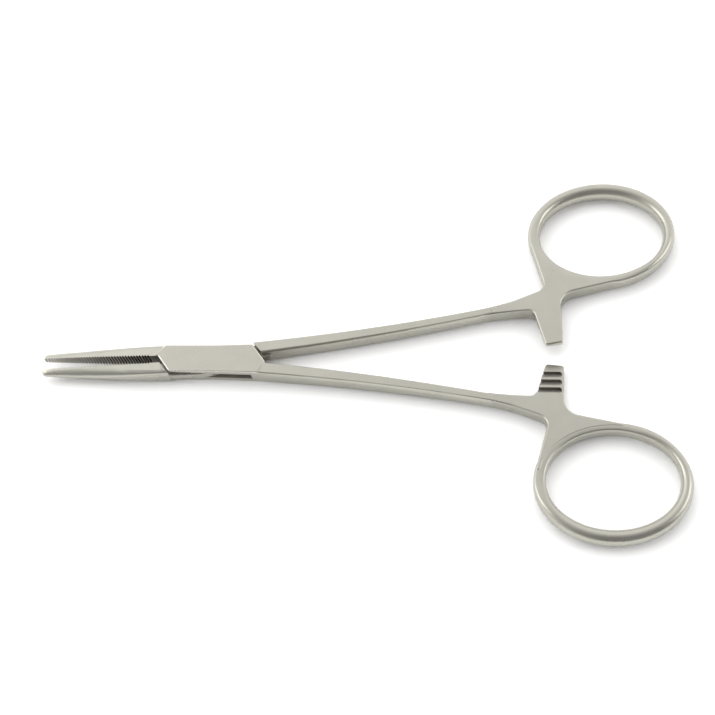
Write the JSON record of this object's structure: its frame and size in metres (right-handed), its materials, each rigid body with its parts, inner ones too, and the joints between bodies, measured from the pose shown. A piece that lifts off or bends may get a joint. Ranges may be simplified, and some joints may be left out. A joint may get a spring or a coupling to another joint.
{
  "type": "hemostat forceps",
  "caption": "Straight haemostatic forceps: ringed halves crossing in a box lock on a flush pin, with serrated jaws and a ratchet between the shanks.",
  "frame": {"origin": "where the pivot pin's axis meets the underside, the face that the instrument lies on", "axes": "+Z along the pivot pin, up from the surface that the instrument lies on; +X from the pivot to the finger rings, along the line that halves the opening; the jaws point to -X"},
  "size_m": [0.1236, 0.0744, 0.0042],
  "materials": {
    "satin_steel": "satin, glass-bead blasted stainless steel",
    "rivet_steel": "satin stainless steel, ground flush with the box"
  },
  "bodies": {
    "box_body": {"box_half": "satin_steel", "joint_pin": "rivet_steel"},
    "tongue_body": {"tongue_half": "satin_steel"}
  },
  "joints": [
    {"name": "box_lock_hinge", "type": "hinge", "parent": "box_body", "child": "tongue_body", "pos_m": [0, 0, 0], "axis": [0, 0, 1], "range_deg": [-3.4, 56]}
  ]
}
